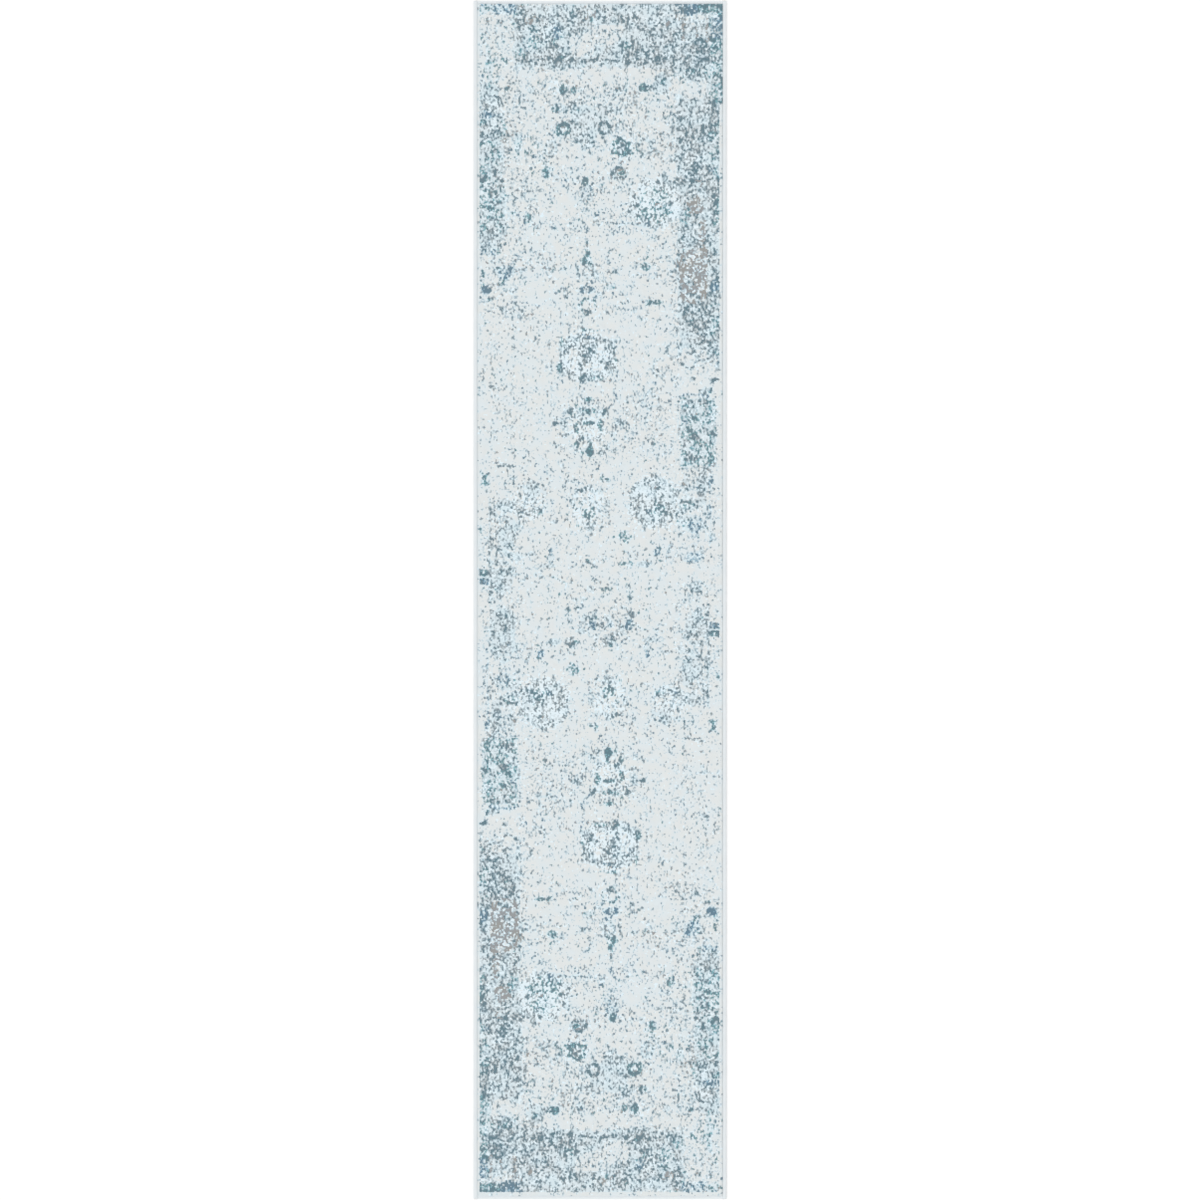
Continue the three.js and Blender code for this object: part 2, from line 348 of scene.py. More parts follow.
draw(
    dab, "slate", (-200, 1536, 26, 24, 0.7), (167, 1540, 26, 16, 0.62), (-100, 1480, 18, 22, 0.75),
    (26, 1480, 34, 20, 0.75), (52, 1475, 24, 12, 0.7), (69, 1362, 26, 26, 0.9), (48, 1272, 12, 12, 0.8),
    (-128, 1270, 16, 22, 0.6), (8, 1232, 20, 12, 0.62), (105, 1160, 34, 16, 0.65), (195, 1250, 50, 14, 0.6),
    (140, 1262, 20, 18, 0.7), (-103, 998, 22, 13, 0.78), (50, 990, 17, 14, 0.9), (-226, 997, 26, 12, 0.8),
    (8, 924, 28, 15, 0.75), (-94, 914, 14, 19, 0.85), (-28, 868, 28, 14, 0.85), (118, 1010, 13, 12, 0.65),
    (168, 1012, 13, 12, 0.65), (130, 976, 13, 12, 0.65), (166, 972, 13, 12, 0.65), (-106, 940, 15, 13, 0.6),
    (-128, 925, 15, 13, 0.6), (55, 885, 15, 13, 0.6), (25, 870, 15, 13, 0.6), (110, 870, 15, 13, 0.6),
    (125, 850, 15, 13, 0.6), (150, 860, 15, 13, 0.6), (186, 842, 15, 13, 0.6),
)
draw(
    stroke, "slate", (-73, 1488, 42, 72, 0.85), (-47, 1228, 60, 76, 0.78), (-27, 1226, 60, 111, 0.78),
    (0, 1242, 44, -25, 0.62), (96, 1128, 64, 0, 0.65, 8), (96, 1190, 60, 10, 0.65, 6),
    (-60, 994, 44, 105, 0.85), (-8, 992, 48, 110, 0.7),
)
draw(stroke, "teal", (-240, 1167, 64, 5, 0.55))
draw(
    ring, "teal", (-104, 1418, 34, 34, 1.0, 0, 13), (69, 1362, 46, 44, 0.95, 6, 14),
    (172, 1202, 68, 66, 0.55, 6, 14), (-31, 884, 44, 48, 0.8, 5, 9),
)
draw(
    ring, "slate", (30, 1484, 44, 34, 0.4), (18, 1422, 30, 32, 1.0, 0, 13), (-36, 1380, 36, 42, 0.76, 5, 9),
    (66, 1288, 44, 30, 0.92, 0, 12), (142, 1364, 40, 46, 0.64, 5), (-143, 1360, 34, 46, 0.6),
    (171, 1200, 140, 130, 0.5, 8, 18), (-28, 990, 32, 38, 0.6), (60, 895, 60, 50, 0.4, 5),
)
draw(haze, "teal", (171, 1196, 160, 150, 0.44, 22))
for turn in np.arange(0, 360, 30):
    out = np.cos(np.radians(turn)), np.sin(np.radians(turn))
    stroke("slate", 166 + 58 * out[0], 1194 + 52 * out[1], 44, turn, 0.66, 3, 6)
draw(haze, "blue", (-32, 1226, 44, 50, 0.56, 8))
draw(
    haze, "slate", (-240, 1195, 150, 150, 0.38, 30), (-20, 1500, 240, 90, 0.4, 24),
    (-15, 1415, 150, 120, 0.5, 20),
)
frost(-125, 1545, 50, 34)
frost(-104, 1420, 22, 22)
frost(69, 1362, 80, 80, 0.8)
frost(171, 1196, 160, 150, 0.9)

# Medallion: a rounded square of short scrolls on a frosted ground, the largest figure of the field.
draw(
    block, "slate", (-118, 58, 692, 772, 0.52, 6), (-92, 32, 662, 798, 0.52, 6),
    (-106, 46, 674, 787, 0.52, 6),
)
draw(haze, "blue", (-36, 760, 46, 70, 0.58, 8))
draw(
    dab, "teal", (-28, 812, 60, 11, 0.86), (-114, 700, 20, 30, 0.95), (-52, 680, 17, 36, 0.95),
    (-108, 745, 17, 24, 0.78), (36, 752, 30, 24, 0.66), (46, 716, 22, 50, 0.72), (-112, 776, 13, 26, 0.85),
    (-2, 668, 46, 16, 0.85),
)
draw(
    dab, "slate", (-40, 750, 11, 40, 0.8), (-20, 748, 9, 26, 0.8), (-52, 710, 9, 18, 0.8),
    (42, 780, 34, 16, 0.66),
)
draw(
    stroke, "slate", (28, 712, 44, -45, 0.8), (42, 700, 40, -45, 0.8), (-98, 684, 36, -15, 0.82),
    (-28, 661, 100, 0, 0.7), (-85, 772, 40, -55, 0.7), (-62, 780, 30, 70, 0.66), (-6, 776, 34, 60, 0.6),
    (14, 690, 40, 60, 0.6),
)
for eye in (
    (-78, 738, 36, 30, 0.6), (8, 742, 22, 34, 0.6), (-78, 700, 26, 20, 0.5), (-14, 700, 40, 18, 0.5),
):
    bare(*eye)
frost(-32, 736, 180, 150, 0.9)

# Palmette under the medallion: rows of short leaves over a dark drop, with scattered specks beside it.
draw(haze, "slate", (-29, 520, 190, 190, 0.3, 20), (126, 530, 180, 210, 0.34, 30))
draw(
    dab, "teal", (-26, 607, 26, 15, 0.95), (-50, 570, 15, 22, 1.0), (-30, 569, 16, 20, 1.0),
    (-12, 571, 14, 15, 0.95), (-30, 532, 40, 14, 1.1), (6, 528, 21, 36, 1.0), (-63, 519, 16, 32, 1.0),
    (-65, 467, 15, 20, 0.95), (-27, 446, 23, 28, 1.05), (-24, 470, 15, 24, 0.95), (-48, 446, 12, 24, 0.65),
)
draw(
    dab, "slate", (-84, 567, 25, 16, 0.95), (18, 567, 25, 16, 0.95), (-52, 487, 20, 17, 1.0),
    (2, 488, 16, 16, 0.95), (-104, 530, 20, 25, 0.8), (-130, 532, 20, 14, 0.8), (66, 536, 20, 19, 0.9),
    (10, 445, 15, 28, 0.75), (42, 500, 15, 15, 0.8), (-100, 495, 15, 15, 0.75), (28, 462, 19, 15, 0.8),
    (48, 448, 17, 15, 0.75),
)
draw(stroke, "slate", (-95, 546, 60, 8, 0.6, 0, 5))
draw(ring, "slate", (160, 602, 44, 46, 0.52, 5))
frost(-29, 520, 130, 120, 0.6)

# Field, lower part: an oval of leaves round a tulip, with a dense rosette on its right and a faint one on
# its left, and a line of small flowers across the rug.
draw(haze, "teal", (-84, 368, 46, 36, 0.34, 8))
draw(
    haze, "slate", (-25, 277, 110, 130, 0.3, 12), (165, 300, 140, 165, 0.54, 8),
    (-207, 300, 112, 120, 0.4, 12),
)
draw(
    ring, "slate", (-25, 277, 100, 116, 0.46, 10, 12), (168, 292, 128, 130, 0.56, 8, 12),
    (-207, 300, 92, 100, 0.46, 7, 10),
)
draw(haze, "teal", (275, 290, 60, 26, 0.72, 7), (270, 238, 70, 30, 0.62, 8), (190, 265, 90, 30, 0.54, 10))
draw(
    dab, "teal", (12, 372, 14, 30, 0.75), (27, 362, 14, 18, 0.66), (-38, 262, 13, 24, 0.82),
    (-18, 264, 13, 28, 0.86), (-29, 252, 30, 17, 0.88), (-30, 337, 26, 13, 0.76), (215, 256, 20, 12, 0.8),
    (284, 292, 16, 14, 0.85), (-180, 264, 30, 19, 0.8), (82, 203, 21, 18, 0.95), (70, 191, 21, 18, 0.95),
    (95, 189, 21, 18, 0.95), (83, 178, 21, 18, 0.95), (76, 107, 20, 13, 0.86), (98, 107, 22, 13, 0.82),
    (-28, 117, 14, 14, 0.85), (25, 32, 32, 13, 0.86), (83, 145, 22, 9, 0.82),
)
draw(
    dab, "blue", (152, 268, 20, 14, 0.85), (-236, 262, 23, 13, 0.85), (-142, 148, 15, 15, 0.95),
    (180, 148, 24, 23, 0.86, 45), (-140, 125, 28, 32, 0.5),
)
draw(
    dab, "slate", (-29, 224, 23, 17, 0.8), (-130, 235, 19, 13, 0.8), (100, 280, 34, 18, 0.7),
    (-202, 141, 23, 12, 0.82), (-150, 104, 52, 12, 0.82), (140, 108, 46, 22, 0.58), (215, 155, 7, 30, 0.75),
    (-170, 72, 20, 15, 0.65), (-190, 78, 14, 17, 0.65), (-12, 60, 15, 13, 0.86), (-20, 32, 28, 26, 0.62),
    (-70, 2, 28, 13, 0.84), (-40, 4, 20, 13, 0.6), (88, 42, 18, 14, 0.78), (96, 5, 18, 14, 0.78),
    (70, 75, 16, 14, 0.6),
)
draw(stroke, "blue", (-224, 284, 42, 80, 0.9))
draw(stroke, "teal", (-120, 62, 62, -30, 0.8))
draw(
    stroke, "slate", (-40, 108, 30, 35, 0.8), (-17, 107, 30, -30, 0.8), (45, 50, 44, -40, 0.62),
    *((x, 38 + 0.3 * (x - 280), 34, -35, 0.62, 0, 5) for x in (282, 300, 318)),
)
frost(-25, 277, 110, 120, 0.7)
frost(175, 290, 190, 180, 0.75)
frost(-212, 280, 100, 80, 0.8)

# Middle flower: it lies on the foot half only, where the border beside it is less worn too. The head
# half's plan is put by before it is drawn.
head_strength = strength.copy()
head_share = {dye: dye_share[dye].copy() for dye in dyes}
draw(haze, "slate", (-25, 60, 180, 120, 0.36, 16), (290, 85, 100, 150, 0.5, 16))
draw(
    dab, "blue", (22, 55, 24, 28, 1.0), (-90, 52, 26, 40, 0.85), (-30, 52, 22, 20, 0.85),
    (-3, 48, 12, 18, 0.7),
)
draw(
    dab, "slate", (-36, 98, 14, 34, 0.85), (-18, 114, 24, 12, 0.7), (10, 98, 12, 28, 0.7),
    (54, 76, 22, 20, 0.8), (-66, 62, 16, 20, 0.75), (-96, 22, 24, 20, 0.8), (-60, 84, 34, 12, 0.7),
    (48, 34, 14, 26, 0.75), (86, 110, 22, 34, 0.85), (104, 108, 14, 16, 0.8), (70, 2, 20, 14, 0.8),
    (28, 32, 14, 16, 0.7), (290, 66, 20, 22, 0.8), (318, 80, 18, 24, 0.8), (306, 130, 50, 26, 0.7),
    (262, 50, 14, 30, 0.7),
)


def whole(half, foot_half=None):
    """The whole plan from its halves, from the foot end up, where the weave is beaten up more tightly."""
    taken = np.linspace(0, half_rows - 1, knots_along - head_rows).round().astype(int)
    foot = (half if foot_half is None else foot_half)[taken]
    return np.concatenate([np.roll(foot[::-1, ::-1], -2, axis=1), half[:head_rows]])


# Grain: which knots of the worn design still show. Specks are about two knots wide.
white = rng.standard_normal((half_rows, knots_across))
grain = blurred(white, 0.72, 0.57) + 0.22 * blurred(rng.standard_normal(white.shape), 3, 0.7)
grain = whole(grain / grain.std())
sparkle = whole(noise(0.72))
strength = np.clip(whole(head_strength, strength) + 0.04 * whole(noise(9)), 0.03, 1)
frosting = whole(frosting)
uneven = [0.15 * noise(5) + 0.13 * noise(1.2) for dye in dyes]
main_dye = np.stack([
    whole(head_share[dye] + patchy, dye_share[dye] + patchy) for dye, patchy in zip(dyes, uneven)
]).argmax(axis=0)
# A plain strip lies before the foot hem, and plain knots beside the bindings. Beside the bindings the
# pale knots are also painted light: two on the left and three on the right lift the shade that falls in
# the groove between the pile and the bindings.
strength[:4] = 0.02
strength[:, :2] = 0.03
strength[:-100, -3:] = 0.03

# A knot shows its dye where its grain is over the bar, and the bar is lower where the design is stronger.
bar = 1.66 - 1.65 * strength - strength**2
over = grain - bar
dyed = (0.42 + 0.08 * strength) * np.tanh(over / 0.9)
worn_pale = (0.42 - 0.22 * strength) * over
depth = 0.28 + 0.10 * strength + np.where(over > 0, dyed, worn_pale)
# Taupe lies under the other dyes, so where it is left the light knots keep a cast of it.
depth[(main_dye == dyes.index("taupe")) & (strength > 0.36)] += 0.12

# Each knot's yarn, from the lightest to the darkest that its depth of colour calls for.
yarn = np.full(depth.shape, "ivory", dtype="U6")
for undyed, least in (("mist", 0.10), ("silver", 0.26), ("grey", 0.44)):
    yarn[depth > least] = undyed
for number, (dye, pale) in enumerate(zip(dyes, ("aqua", "sky", "grey", "taupe"))):
    of_dye = main_dye == number
    yarn[of_dye & (depth > 0.40) & (strength > 0.45)] = pale
    yarn[of_dye & (depth > 0.56)] = dye
greenish = np.isin(main_dye, (dyes.index("teal"), dyes.index("slate")))
yarn[greenish & (depth > 0.72)] = "deep"
# The brightest yarn glints among the palest knots, most of all in frosted figures and thick design.
bright = (over < -0.5) & (sparkle > 2.2 - 2.0 * frosting - 2.0 * np.clip(strength, 0, 0.7))
yarn[bright] = "frost"
# Where the design is thick and isn't taupe, its dyes have bled a little into the light knots.
tinged = (strength > 0.45) & (main_dye != dyes.index("taupe"))
yarn[tinged & (yarn == "ivory")] = "ice"


# Cut pile: heat-set polypropylene yarn woven in with the ground cloth on a face-to-face loom and cut
# apart, so every knot ends in a soft tuft. Each colour of yarn is a piece of its own, with its tufts
# where the plan has them.
tuft_rise = 0.0011
height_spread = 0.00025
sway = 0.0005
edge_drop = 0.002
edge_lean = 0.0005


def srgb(hex_colour):
    """A hex colour as the linear RGBA that shaders take."""
    parts = [int(hex_colour[place : place + 2], 16) / 255 for place in (1, 3, 5)]
    linear = [part / 12.92 if part <= 0.04045 else ((part + 0.055) / 1.055) ** 2.4 for part in parts]
    return (*linear, 1.0)


def add(material, kind, sockets, onward=None, **settings):
    """Adds a shader node. Sockets take constants or outputs, and onward says what its own outputs feed."""
    node = material.node_tree.nodes.new(kind)
    for name, value in settings.items():
        setattr(node, name, value)
    for name, value in sockets.items():
        if isinstance(value, bpy.types.NodeSocket):
            material.node_tree.links.new(value, node.inputs[name])
        else:
            node.inputs[name].default_value = value
    for name, socket in (onward or {}).items():
        material.node_tree.links.new(node.outputs[name], socket)
    return node


def start(name, **shader):
    """A new material, its main shader with these constants, and the place on the piece."""
    material = bpy.data.materials.new(name)
    material.use_nodes = True
    main = material.node_tree.nodes["Principled BSDF"]
    for socket, value in shader.items():
        main.inputs[socket.replace("_", " ")].default_value = value
    place = add(material, "ShaderNodeTexCoord", {}).outputs["Object"]
    return material, main, place


def solid(name, points, *face_groups, uv=None, sharp=None):
    """A mesh piece from its points and its faces, in groups of equal corner count."""
    mesh = bpy.data.meshes.new(name)
    corners = np.concatenate([group.ravel() for group in face_groups])
    counts = np.concatenate([np.full(len(group), group.shape[1]) for group in face_groups])
    mesh.vertices.add(len(points))
    mesh.vertices.foreach_set("co", points.ravel())
    mesh.loops.add(len(corners))
    mesh.loops.foreach_set("vertex_index", corners)
    mesh.polygons.add(len(counts))
    mesh.polygons.foreach_set("loop_start", np.cumsum(counts) - counts)
    mesh.update(calc_edges=True)
    mesh.shade_smooth()
    if sharp:
        mesh.set_sharp_from_angle(angle=sharp)
    if uv is not None:
        layer = mesh.uv_layers.new(name="OFBake")
        layer.uv.foreach_set("vector", uv[corners].ravel())
    piece = bpy.data.objects.new(name, mesh)
    bpy.context.collection.objects.link(piece)
    return piece


def finish_piece(piece, material, slot, *nodes):
    """Colours a piece, hangs it from the root body and hides the parts that it stands in for."""
    piece.data.materials.append(material)
    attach(piece, "root")
    if nodes:
        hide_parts(*nodes)


# Tufts stand side by side. Their feet meet in shallow valleys and their tops crown a little unevenly.
edges_x = np.linspace(pile_low[0], pile_high[0], knots_across + 1)
edges_y = np.linspace(pile_low[1], pile_high[1], knots_along + 1)
valley_x, valley_y = np.meshgrid(edges_x, edges_y)
valleys = np.stack([valley_x, valley_y, np.full_like(valley_x, pile_high[2] - tuft_rise)], axis=-1)
inner = (slice(1, -1), slice(1, -1))
valleys[inner] += rng.uniform(-1, 1, valleys[inner].shape) * (sway, sway, height_spread)
crowns = (valleys[:-1, :-1] + valleys[1:, :-1] + valleys[:-1, 1:] + valleys[1:, 1:]) / 4
crowns[..., 2] = pile_high[2] - height_spread * rng.uniform(0, 1, yarn.shape)
crowns[..., :2] += rng.uniform(-sway, sway, (*yarn.shape, 2))
feet = valleys.copy()
feet[..., 2] = pile_low[2]
# The outermost tufts lean out over the bindings.
valleys[:, 0] -= (edge_lean, 0, edge_drop)
valleys[:, -1] += (edge_lean, 0, -edge_drop)

# Numbers of every tuft's crown and of its four valley corners, and of the foot under each edge corner.
corner_number = np.arange(valleys[..., 0].size).reshape(valley_x.shape)
crown_number = corner_number.size + np.arange(yarn.size).reshape(yarn.shape)
foot_shift = corner_number.size + yarn.size
all_points = np.concatenate([valleys.reshape(-1, 3), crowns.reshape(-1, 3), feet.reshape(-1, 3)])
south_west, south_east = corner_number[:-1, :-1], corner_number[:-1, 1:]
north_west, north_east = corner_number[1:, :-1], corner_number[1:, 1:]
at_south, at_west = (place == 0 for place in np.indices(yarn.shape))
tuft_sides = (
    (south_west, south_east, at_south),
    (south_east, north_east, at_west[:, ::-1]),
    (north_east, north_west, at_south[::-1]),
    (north_west, south_west, at_west),
)


def heat_set_yarn(name, hex_colour, other_hex):
    """Heat-set polypropylene: matt, with a soft bloom at grazing light, and a slow drift in the dye."""
    material, main, place = start(name, Roughness=0.92, IOR=1.49, Sheen_Weight=0.12, Sheen_Roughness=0.5)
    drift = add(material, "ShaderNodeTexNoise", {"Vector": place, "Scale": 26.0, "Detail": 1.0})
    spread = add(
        material,
        "ShaderNodeMapRange",
        {"Value": drift.outputs["Fac"], "From Min": 0.36, "From Max": 0.64},
    )
    add(
        material, "ShaderNodeMix",
        {"Factor": spread.outputs["Result"], "A": srgb(hex_colour), "B": srgb(other_hex)},
        {"Result": main.inputs["Base Color"]}, data_type="RGBA",
    )
    # Yarn ends are about 0.3 mm thick; drawn at 1.5 mm, the finest that shows.
    ends = add(material, "ShaderNodeTexNoise", {"Vector": place, "Scale": 650.0, "Detail": 1.0})
    add(
        material, "ShaderNodeBump", {"Height": ends.outputs["Fac"], "Strength": 0.5, "Distance": 0.0005},
        {"Normal": main.inputs["Normal"]},
    )
    return material


yarn_colours = {
    "frost": ("#dceaf1", "#e0ebf0"),
    "ivory": ("#d8e0e3", "#dbdfdf"),
    "ice": ("#d1e0e6", "#d4dfe4"),
    "mist": ("#c1d2d9", "#c6d1d6"),
    "silver": ("#a9bbc5", "#b1bdc2"),
    "grey": ("#93a7b1", "#9ea8ac"),
    "slate": ("#7a8c95", "#828e94"),
    "taupe": ("#93979a", "#979896"),
    "teal": ("#668c94", "#708f95"),
    "deep": ("#607c87", "#69808a"),
    "blue": ("#627f91", "#6a8390"),
    "aqua": ("#83b0bb", "#8baeb5"),
    "sky": ("#8aaec1", "#94aebb"),
}
for colour, (main_hex, other_hex) in yarn_colours.items():
    mine = yarn == colour
    slopes, walls = [], []
    for first, second, at_edge in tuft_sides:
        slopes.append(np.stack([first[mine], second[mine], crown_number[mine]], axis=1))
        rim = mine & at_edge
        left, right = first[rim], second[rim]
        walls.append(np.stack([left + foot_shift, right + foot_shift, right, left], axis=1))
    tufts, sides = np.concatenate(slopes), np.concatenate(walls)
    used, numbers = np.unique(np.concatenate([tufts.ravel(), sides.ravel()]), return_inverse=True)
    points = all_points[used]
    plan_uv = (points[:, :2] - pile_low[:2]) / (pile_high[:2] - pile_low[:2])
    tufts, sides = numbers[: tufts.size].reshape(-1, 3), numbers[tufts.size :].reshape(-1, 4)
    groups = [tufts, sides] if len(sides) else [tufts]
    piece = solid("pile_" + colour, points, *groups, uv=plan_uv)
    finish_piece(piece, heat_set_yarn(colour + "_yarn", main_hex, other_hex), "pile_yarn", "pile")

# Ground cloth: polyester warp and jute weft that bind the tufts, woven at the same time as the pile. It
# runs into the side bindings and the hems, and its picks give it ribs across.
pick = 0.006  # from a rib's crest to the next hollow; the real picks are finer
rib_rise = 0.0002


def plate(name, xs, ys, top, bottom, keep=None):
    """A closed sheet over a grid, from heights at the grid's points. Cells can be left out of it."""
    x, y = np.meshgrid(xs, ys)
    top, bottom = np.broadcast_to(top, x.shape), np.broadcast_to(bottom, x.shape)
    upper = np.stack([x, y, top], axis=-1).reshape(-1, 3)
    lower = np.stack([x, y, bottom], axis=-1).reshape(-1, 3)
    number = np.arange(x.size).reshape(x.shape)
    a, b, c, d = number[:-1, :-1], number[:-1, 1:], number[1:, 1:], number[1:, :-1]
    keep = np.ones(a.shape, bool) if keep is None else keep
    fenced = np.pad(keep, 1)
    quads = [np.stack([a, b, c, d], axis=-1)[keep], np.stack([d, c, b, a], axis=-1)[keep] + x.size]
    beside = (
        (a, b, fenced[:-2, 1:-1]),
        (b, c, fenced[1:-1, 2:]),
        (c, d, fenced[2:, 1:-1]),
        (d, a, fenced[1:-1, :-2]),
    )
    for first, second, neighbour in beside:
        open_side = keep & ~neighbour
        f, s = first[open_side], second[open_side]
        quads.append(np.stack([f + x.size, s + x.size, s, f], axis=1))
    points = np.concatenate([upper, lower])
    faces = np.concatenate(quads)
    used, numbers = np.unique(faces, return_inverse=True)
    span = (x.max() - x.min(), y.max() - y.min())
    # The map's left half is the upper side, and its right half the lower side.
    uv = (points[:, :2] - (x.min(), y.min())) / span * (0.49, 1)
    uv[x.size :, 0] += 0.51
    return solid(name, points[used], numbers.reshape(-1, 4), uv=uv[used], sharp=0.9)


def rib_lines(low, high, pitch):
    """Crests and hollows from low to high, in an even number of steps so that both ends are alike."""
    return np.linspace(low, high, 2 * round((high - low) / pitch / 2) + 1)


def ribs(lines, rise):
    """Heights of crests and hollows across the cloth, up and down in turn."""
    return (rise * (np.arange(len(lines)) % 2))[:, None]


cloth_low, cloth_high = (np.array(corner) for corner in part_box("ground_cloth"))
cloth_x = np.linspace(cloth_low[0], cloth_high[0], 61)
cloth_y = rib_lines(cloth_low[1], cloth_high[1], pick)
crimp = ribs(cloth_y, rib_rise)
cloth_face, cloth_back = cloth_high[2] - crimp, cloth_low[2] + rib_rise - crimp
ground_cloth = plate("ground_cloth_weave", cloth_x, cloth_y, cloth_face, cloth_back)

# Jute weft in a plain weave is golden tan and dull; its yarns vary in thickness, which shows as slubs
# along x.
jute, main, place = start("jute_and_polyester_weave", Roughness=0.9, IOR=1.5)
stretched = add(jute, "ShaderNodeMapping", {"Vector": place, "Scale": (12.0, 330.0, 330.0)})
stretched_place = stretched.outputs["Vector"]
slubs = add(jute, "ShaderNodeTexNoise", {"Vector": stretched_place, "Scale": 1.0, "Detail": 2.0})
add(
    jute, "ShaderNodeMix", {"Factor": slubs.outputs["Fac"], "A": srgb("#b9a988"), "B": srgb("#d6c9ab")},
    {"Result": main.inputs["Base Color"]}, data_type="RGBA",
)
add(
    jute, "ShaderNodeBump", {"Height": slubs.outputs["Fac"], "Strength": 0.5, "Distance": 0.0003},
    {"Normal": main.inputs["Normal"]},
)
finish_piece(ground_cloth, jute, "ground_weave", "ground_cloth")

# Latex coat: spread on the back of the cloth and cured in an oven, it locks the tufts in. It soaks into
# the jute floats, so the back keeps their ribs under a dull skin. It stops at the hems, and leaves the
# label's place bare.
coat_low, coat_high = (np.array(corner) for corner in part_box("latex_coat"))
label_low, label_high = (np.array(corner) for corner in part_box("care_label"))
gap = 0.0003  # round the label
skin_rib = 0.00035
skin_pitch = 0.003  # from crest to hollow again
coat_x = np.concatenate([
    np.linspace(coat_low[0], label_low[0] - gap, 5)[:-1],
    np.linspace(label_low[0] - gap, label_high[0] + gap, 7)[:-1],
    np.linspace(label_high[0] + gap, coat_high[0], 51),
])
coat_y = np.concatenate([
    rib_lines(coat_low[1], label_high[1] + gap, skin_pitch)[:-1],
    rib_lines(label_high[1] + gap, coat_high[1], skin_pitch),
])
near = 0.001
label_place_x = (coat_x[:-1] > label_low[0] - near) & (coat_x[1:] < label_high[0] + near)
label_place_y = coat_y[1:] < label_high[1] + near
coated = ~(label_place_y[:, None] & label_place_x[None, :])
coat_back = coat_low[2] + ribs(coat_y, skin_rib)
latex_coat = plate("latex_coat_skin", coat_x, coat_y, coat_high[2], coat_back, coated)

# Cured latex over jute is creamy tan and slightly waxy, with a mottle where it soaked in more or less.
latex, main, place = start("cured_latex", Roughness=0.6, IOR=1.52)
mottle = add(latex, "ShaderNodeTexNoise", {"Vector": place, "Scale": 45.0, "Detail": 3.0, "Roughness": 0.6})
add(
    latex, "ShaderNodeMix", {"Factor": mottle.outputs["Fac"], "A": srgb("#c4b592"), "B": srgb("#e0d6bd")},
    {"Result": main.inputs["Base Color"]}, data_type="RGBA",
)
# Warp yarns under the skin lie 3 mm apart, so their waves repeat every 3 mm across.
warps = add(
    latex, "ShaderNodeTexWave", {"Vector": place, "Scale": 105.0, "Distortion": 0.6, "Detail": 1.0},
    bands_direction="X",
)
add(
    latex, "ShaderNodeBump", {"Height": warps.outputs["Fac"], "Strength": 0.5, "Distance": 0.0004},
    {"Normal": main.inputs["Normal"]},
)
finish_piece(latex_coat, latex, "latex", "latex_coat")

# Side bindings: an overcasting machine whips thick polyester yarn round a filler cord laid against the
# cloth's edge, stitch by stitch, so the edge becomes a ribbed roll. The left one is the right one after
# half a turn.
wrap_pitch = 0.003
wrap_swell = 0.0003
wrap_slant = 0.0012
lean_fade = 0.006
binding_width = 0.012
cord_from_pile, cord_height, cord_chamber = 0.0076, 0.0033, 0.0026
slot_top, slot_bottom, inner_height, inner_round = 0.0028, 0.0007, 0.006, 0.0012


def swept(name, rings, sharp=0.9):
    """A closed tube through rings of points, capped at both ends."""
    steps, around = rings.shape[:2]
    number = np.arange(steps * around).reshape(steps, around)
    a, d = number[:-1], number[1:]
    b, c = np.roll(a, -1, axis=1), np.roll(d, -1, axis=1)
    walls = np.stack([a, b, c, d], axis=-1).reshape(-1, 4)
    turn, travel = np.meshgrid(np.arange(around) / around, np.linspace(0, 1, steps))
    uv = np.stack([turn, travel], axis=-1).reshape(-1, 2)
    return solid(name, rings.reshape(-1, 3), walls, number[:1, ::-1], number[-1:], uv=uv, sharp=sharp)


def arc(x, z, radius, start_degrees, end_degrees, count):
    """Points of an arc in a section, x outwards and z up."""
    angle = np.radians(np.linspace(start_degrees, end_degrees, count))
    return np.stack([x + radius * np.cos(angle), z + radius * np.sin(angle)], axis=1)


wrap_radius = binding_width - cord_from_pile
low_round = cord_height
chamber_start = np.degrees(np.arccos((slot_top - cord_height) / cord_chamber)) + 90
outer = np.concatenate([
    [(0.0, 0.0)],
    arc(binding_width - low_round, low_round, low_round, -90, -12, 4),
    arc(cord_from_pile, cord_height, wrap_radius, 0, 90, 6),
    [(0.0045, 0.00735), (0.0028, 0.0066), (inner_round, inner_height), (0.0, inner_height - inner_round)],
])
inner_side = np.concatenate([
    [(0.0, slot_top)],
    arc(cord_from_pile, cord_height, cord_chamber, chamber_start, -90, 8),
    [(0.0, slot_bottom)],
])
binding_section = np.concatenate([outer, inner_side])
on_outside = np.concatenate([np.ones(len(outer)), np.zeros(len(inner_side))])
on_outside[[0, len(outer) - 1]] = 0


def binding(name, node, turned_round):
    low, high = (np.array(corner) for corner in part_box(node))
    wraps = round((high[1] - low[1]) / wrap_pitch)
    y = np.linspace(low[1], high[1], 2 * wraps + 1)
    swell = np.where(np.arange(len(y)) % 2, 0.0, -wrap_swell)
    middle = np.array([cord_from_pile, cord_height])
    outwards = binding_section - middle
    outwards /= np.linalg.norm(outwards, axis=1)[:, None]
    section = binding_section + outwards * (swell[:, None] * on_outside)[..., None]
    # Each wrap leans along the edge as it goes over. The lean fades at the ends, so that they stay square.
    lean = np.linspace(-0.5, 0.5, len(binding_section)) * wrap_slant
    fade = np.clip(np.minimum(y - low[1], high[1] - y) / lean_fade, 0, 1)
    inside_x = abs(low[0] if not turned_round else high[0])
    along = y[:, None] + lean * fade[:, None]
    side = -1 if turned_round else 1
    ring_points = np.stack([side * (inside_x + section[..., 0]), side * along, section[..., 1]], axis=-1)
    return swept(name, ring_points[:, ::-1])


